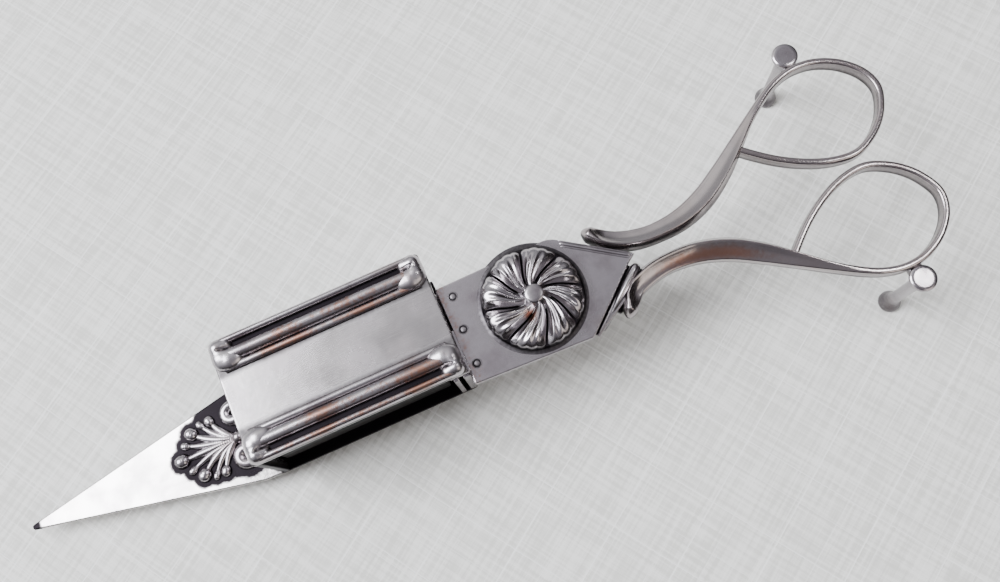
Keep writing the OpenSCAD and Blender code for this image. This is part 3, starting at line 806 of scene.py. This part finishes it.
def handle(name, body, nodes, mirror, copper_face):
    """One bar: a ridged shank that starts in a beak, thins into the band of the bow and bends round to the fork.
    Its sections follow a smooth curve, and shrink as a square root of the distance to close at both ends."""
    path = spline((FRONT_BEAK if mirror else REAR_BEAK) + HANDLE, 520)
    plan, width = path[:, :2], path[:, 2]
    along = np.gradient(plan, axis=0)
    along /= np.linalg.norm(along, axis=1, keepdims=True)
    side = np.stack([along[:, 1], -along[:, 0]], 1)
    travel = travelled(plan)
    section = spline(SHANK_SECTION, 56, closed=True)
    band = smoothstep(30, 50, travel)[:, None, None]
    section = section * (1 - band) + spline(BAND_SECTION, 56, closed=True) * band
    blunt = smoothstep(4.5, 0.6, travel)[:, None, None]
    section = section * (1 - blunt) + spline(BEAK_SECTION, 56, closed=True) * blunt
    beak = np.sqrt(np.clip(travel / 1.4, 0, 1))
    fork = np.sqrt(np.clip((travel[-1] - travel) / 0.5, 0, 1))
    close = (beak * fork)[:, None]
    across = section[..., 0] * width[:, None] / 2 * close
    tall = 3.9 + 0.2 * np.exp(-((travel - 2) / 3) ** 2) - 0.9 * smoothstep(26, 52, travel)
    low = HANDLE_LOW + 0.1 * smoothstep(26, 52, travel)
    z = low[:, None] + tall[:, None] * (0.5 + (section[..., 1] - 0.5) * close)
    rings = capped(np.dstack([plan[:, None] + side[:, None] * across[..., None], z]))
    travel = np.concatenate([travel[:1], travel, travel[-1:]])[:, None]
    section = np.concatenate([section[:1], section, section[-1:]])
    # painted shade: the underside, the shank's inner flank, the band's side walls and the beak are darkened,
    # standing in for shade and dark reflections
    under = 1 - smoothstep(0.15, 0.62, section[..., 1])
    shank = 1 - smoothstep(30, 48, travel)
    wall = smoothstep(0.7, 0.98, np.abs(section[..., 0]))
    patina_and_shade = under * (0.35 + 0.5 * shank) + 0.5 * shank * smoothstep(0.62, 0.98, section[..., 0])
    patina_and_shade += 0.38 * (1 - shank) * wall + 0.28 * smoothstep(5, 1, travel)
    face = np.exp(-((section[..., 0] + 0.35) / 0.75) ** 2) * smoothstep(0.45, 0.7, section[..., 1])
    copper = copper_face * face * np.exp(-((travel - 21) / 13) ** 2)
    copper = np.maximum(copper, 0.34 * smoothstep(0.9, 1.0, section[..., 1]))
    add_piece(name, body, nodes, HANDLE_SILVER, [rings], [patina_and_shade], [copper], mirror, sharp=60)


DISC_R = 2.45


def foot(node, body, mirror):
    """A turned foot: a flat disc on a short neck, a slender pillar and a spread base, with a small lug that
    joins it to the outside of the bow."""
    low, high = span(node)
    centre = (low[0] + high[0]) / 2, (max(abs(low[1]), abs(high[1])) - DISC_R)
    top = high[2]
    profile = [(0, top), (2.1, top), (2.35, top - 0.12), (DISC_R, top - 0.4), (2.4, top - 0.8),
               (2.1, top - 1.0), (1.5, top - 1.25), (1.25, top - 1.9), (1.2, top - 3), (1.1, top - 7),
               (1.1, 5.0), (1.25, 3.0), (1.5, 2.2), (1.9, 1.5), (2.1, 0.9), (2.1, 0.35), (1.9, 0.0),
               (0, 0.0)]
    rows = np.arange(len(profile))
    fine = np.linspace(0, rows[-1], 4 * rows[-1] + 1)
    dense = np.column_stack([np.interp(fine, rows, column) for column in np.transpose(profile)])
    rings = spun(dense, centre, 64)
    lug = block((centre[0] - 1.3, 20.9, 16.7), (centre[0] + 1.3, 23.6, 18.3), 0.5, 0.3)
    # painted shade under the disc, on the neck and pillar, and darker towards the base, in place of the floor's
    # reflection
    patina_and_shade = 0.7 * np.exp(-((rings[..., 2] - (top - 1.6)) / 1.2) ** 2) + 0.3 * (rings[..., 2] < top - 1.1)
    patina_and_shade += 0.25 * smoothstep(6, 1, rings[..., 2])
    add_piece(node, body, [node], SILVER, [rings, lug], [patina_and_shade, np.full(lug.shape[:2], 0.5)], mirror=mirror)


def tip_foot():
    """The small turned foot under the box end of the tip."""
    low, high = span("tip_foot")
    centre = ((low[0] + high[0]) / 2, (low[1] + high[1]) / 2)
    profile = [(0, high[2]), (1.6, high[2]), (1.3, 2.4), (1.35, 1.7), (1.8, 1.1), (2.1, 0.7), (2.1, 0.3),
               (1.9, 0), (0, 0)]
    rings = spun(profile, centre, 64)
    add_piece("tip_foot", BOX_LIMB, ["tip_foot"], SILVER, [rings], [np.full(rings.shape[:2], 0.4)], sharp=70)


def pivot_pin():
    """The pin keeps its exact solid and gets its finish."""
    data = frame["nodes"]["pivot_pin"].data
    data.materials.clear()
    data.materials.append(PIN_STEEL)


floor_blade()
shell_ornament()
box_walls()
box_cover()
reeded_moulding("front_reeded_moulding", 0, rear=False)
reeded_moulding("rear_reeded_moulding", 2, rear=True)
leaf_clasp("leaf_clasp_front_tip", end=False, rear=False)
leaf_clasp("leaf_clasp_front_pivot", end=True, rear=False)
leaf_clasp("leaf_clasp_rear_tip", end=False, rear=True)
leaf_clasp("leaf_clasp_rear_pivot", end=True, rear=True)
pivot_plates()
boss_rim()
rosette()
canted_edges()
pellets()
presser()
handle("rear_handle", PRESSER_LIMB, ["rear_handle", "rear_bow"], False, 0.25)
handle("front_handle", BOX_LIMB, ["front_handle", "front_bow"], True, 0.95)
foot("rear_foot", PRESSER_LIMB, False)
foot("front_foot", BOX_LIMB, True)
tip_foot()
pivot_pin()


# ---------------------------------------------------------------- studio

# metres between thicker threads of one set, how much closer a second set lies, and half the cloth's side
THREAD_GAP, CLOSER, CLOTH_HALF = 0.0135, 1.618, 1.5


def cloth_floor():
    """A pale table cloth: a fine weave of two stretched noises, with two sets of thicker threads each way."""
    material, tree = new_material("pale woven cloth")
    warp, weft = noise(tree, 1300, 2, (1, 0.05, 1)), noise(tree, 1300, 2, (0.05, 1, 1))
    place = add_node(tree, "ShaderNodeTexCoord").outputs["Object"]
    axes = add_node(tree, "ShaderNodeSeparateXYZ", {"Vector": place})
    lines = []
    for axis, sway in (("X", weft), ("Y", warp)):
        across = maths(tree, "ADD", axes.outputs[axis], maths(tree, "MULTIPLY", sway, 0.0003))
        steps = maths(tree, "DIVIDE", across, THREAD_GAP)
        closer = maths(tree, "FRACT", maths(tree, "MULTIPLY", steps, CLOSER))
        lines.append(ramp(tree, maths(tree, "FRACT", steps), 0.03, 0.0))
        lines.append(ramp(tree, closer, 0.04, 0.0, 0.0, 0.6))
    thread = maths(tree, "MAXIMUM", maths(tree, "MAXIMUM", *lines[:2]), maths(tree, "MAXIMUM", *lines[2:]))
    weave = maths(tree, "MULTIPLY", maths(tree, "ADD", warp, weft), 0.5)
    colour = mix_colour(tree, ramp(tree, weave, 0.38, 0.62), linear("#d6d6d0"), linear("#f2f2ed"))
    colour = mix_colour(tree, thread, colour, linear("#fbfbf8"))
    height = maths(tree, "ADD", weave, maths(tree, "MULTIPLY", thread, 0.6))
    end_material(tree, colour, 0.85, bumped(tree, height, 0.35, 0.0002), 0.0)
    mesh = bpy.data.meshes.new("floor")
    corners = [(x * CLOTH_HALF, y * CLOTH_HALF, 0) for x, y in ((-1, -1), (1, -1), (1, 1), (-1, 1))]
    mesh.from_pydata(corners, [], [(0, 1, 2, 3)])
    mesh.materials.append(material)
    floor = bpy.data.objects.new("floor", mesh)
    bpy.context.scene.collection.objects.link(floor)
    floor.rotation_euler = (0, 0, 0.6)


def stand(name, data, axes, place):
    """An object that holds a light or the camera, at a place, with its three axes given as directions."""
    thing = bpy.data.objects.new(name, data)
    turn = Matrix(np.column_stack(axes).tolist()).to_4x4()
    turn.translation = place
    thing.matrix_world = turn
    bpy.context.scene.collection.objects.link(thing)
    return thing


def soft_window(name, place, aim, size, power, colour):
    """A rectangular soft light that faces the aim."""
    light = bpy.data.lights.new(name, "AREA")
    light.shape = "RECTANGLE"
    light.size, light.size_y = size
    light.energy = power
    light.color = linear(colour)[:3]
    back = np.array(place, float) - np.array(aim, float)
    back /= np.linalg.norm(back)
    right = np.cross((0, 1, 0.001), back)
    right /= np.linalg.norm(right)
    stand(name, light, [right, np.cross(back, right), back], place)


def room_light():
    """A soft room: daylight from the rear left, a grey ceiling, and darker walls to the front right."""
    world = bpy.data.worlds.new("studio")
    bpy.context.scene.world = world
    world.use_nodes = True
    tree = world.node_tree
    tree.nodes.clear()
    way = add_node(tree, "ShaderNodeTexCoord").outputs["Generated"]
    parts = add_node(tree, "ShaderNodeSeparateXYZ", {0: way})
    side = maths(tree, "ADD", maths(tree, "MULTIPLY", parts.outputs[0], -0.65),
                 maths(tree, "MULTIPLY", parts.outputs[1], 0.76))
    low = mix_colour(tree, ramp(tree, side, -0.2, 0.6), linear("#211d1e"), linear("#a5a7ab"))
    ceiling = mix_colour(tree, ramp(tree, side, -0.1, 0.14), linear("#7d7b81"), linear("#b2b1b8"))
    high = mix_colour(tree, ramp(tree, side, 0.24, 0.38), ceiling, linear("#ffffff"))
    height = ramp(tree, parts.outputs[2], 0.25, 0.9)
    colour = mix_colour(tree, height, low, high)
    light = add_node(tree, "ShaderNodeBackground", {"Color": colour, "Strength": 1.5})
    add_node(tree, "ShaderNodeOutputWorld", {"Surface": light.outputs[0]})


def camera():
    """The camera looks down on the object, turned so that the tip points to the lower left."""
    data = bpy.data.cameras.new("camera")
    data.lens = 34.2
    data.sensor_width = 36
    data.clip_start = 0.01
    right, up = (0.91374, -0.40066, -0.06735), (0.40477, 0.88352, 0.23574)
    axes = [right, up, np.cross(right, up)]
    bpy.context.scene.camera = stand("camera", data, axes, (0.0037, -0.0368, 0.185))


cloth_floor()
room_light()
soft_window("window", (-0.75, 0.35, 0.95), (0, 0, 0), (0.9, 0.7), 32, "#f6f8ff")
soft_window("bounce", (0.5, -0.7, 0.8), (0, 0, 0), (0.6, 0.6), 2.0, "#fff6ea")
soft_window("lamp", (0.43, 0.03, 0.8), (0.078, -0.024, 0.019), (0.13, 0.13), 0.9, "#ffffff")
camera()
